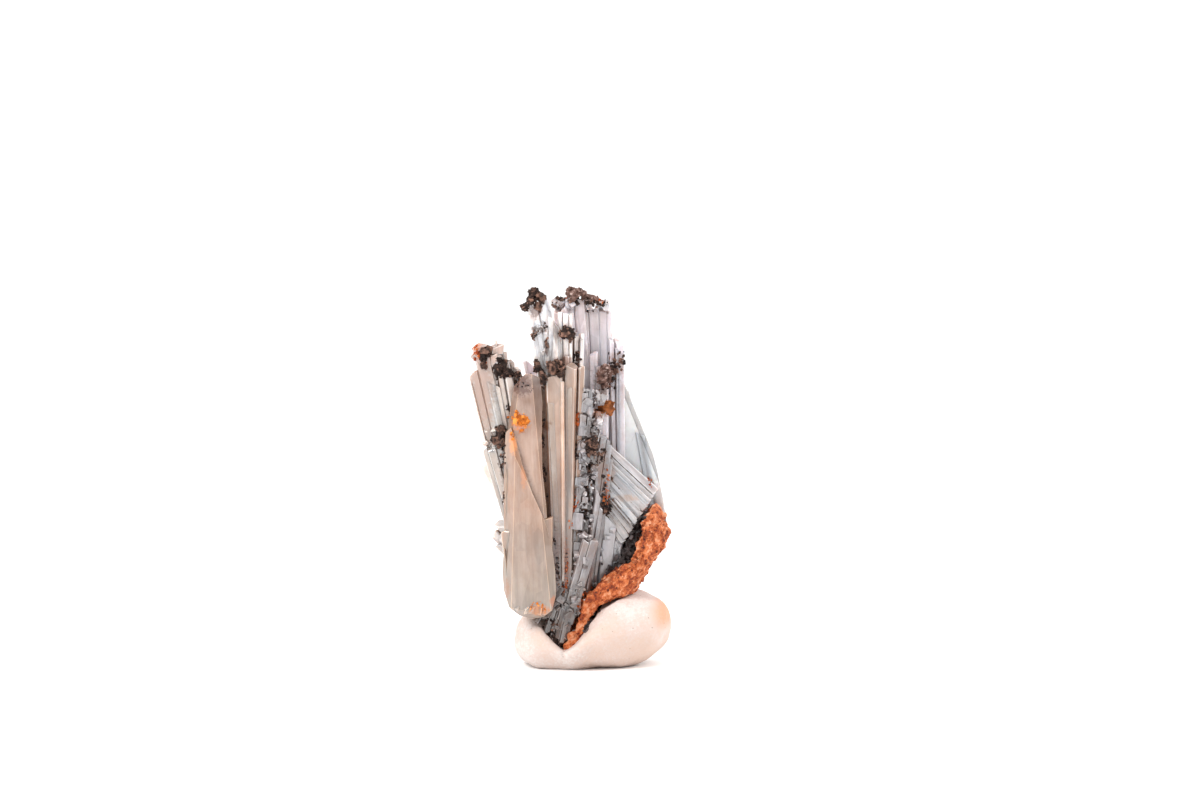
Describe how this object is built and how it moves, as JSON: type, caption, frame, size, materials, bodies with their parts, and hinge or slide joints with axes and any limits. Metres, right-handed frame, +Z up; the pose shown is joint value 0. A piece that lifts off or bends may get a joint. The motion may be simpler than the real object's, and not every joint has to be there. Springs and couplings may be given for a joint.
{
  "type": "barite crystal cluster",
  "caption": "Upright spray of bladed barite crystals on an iron-oxide matrix, set in a lump of mounting putty for display.",
  "frame": {"origin": "middle of the putty's flat foot, on the surface the specimen stands on", "axes": "+Z up along the crystals, +X to the specimen's right, -Y towards the front with the large honey-coloured blade"},
  "size_m": [0.0272, 0.0159, 0.0518],
  "materials": {
    "honey_barite": "glossy, translucent, finely striated",
    "grey_barite": "glossy, translucent, stepped and striated",
    "pale_barite": "glossy, translucent",
    "clear_barite": "glassy, clear",
    "silky_barite": "silky, strongly striated",
    "limonite": "rough, earthy, pitted",
    "goethite": "dark, drusy",
    "umber_crust": "granular, dull",
    "ochre_crust": "granular, dull",
    "putty": "matt, finger-pressed"
  },
  "bodies": {
    "root": {"barite_core": "grey_barite", "barite_front_blade": "honey_barite", "barite_left_spray": "pale_barite", "barite_rear_left_blades": "pale_barite", "barite_right_blade": "clear_barite", "barite_striated_fan": "silky_barite", "crust_blade_cluster": "umber_crust", "crust_blade_knob": "umber_crust", "crust_centre_seam": "umber_crust", "crust_centre_tip": "umber_crust", "crust_core_crevice": "umber_crust", "crust_left_edge": "umber_crust", "crust_left_middle": "umber_crust", "crust_left_tips": "umber_crust", "crust_ochre_knob": "ochre_crust", "crust_rear_middle": "umber_crust", "crust_rear_top": "umber_crust", "goethite_pocket": "goethite", "limonite_matrix": "limonite", "putty_rest": "putty"}
  },
  "joints": []
}
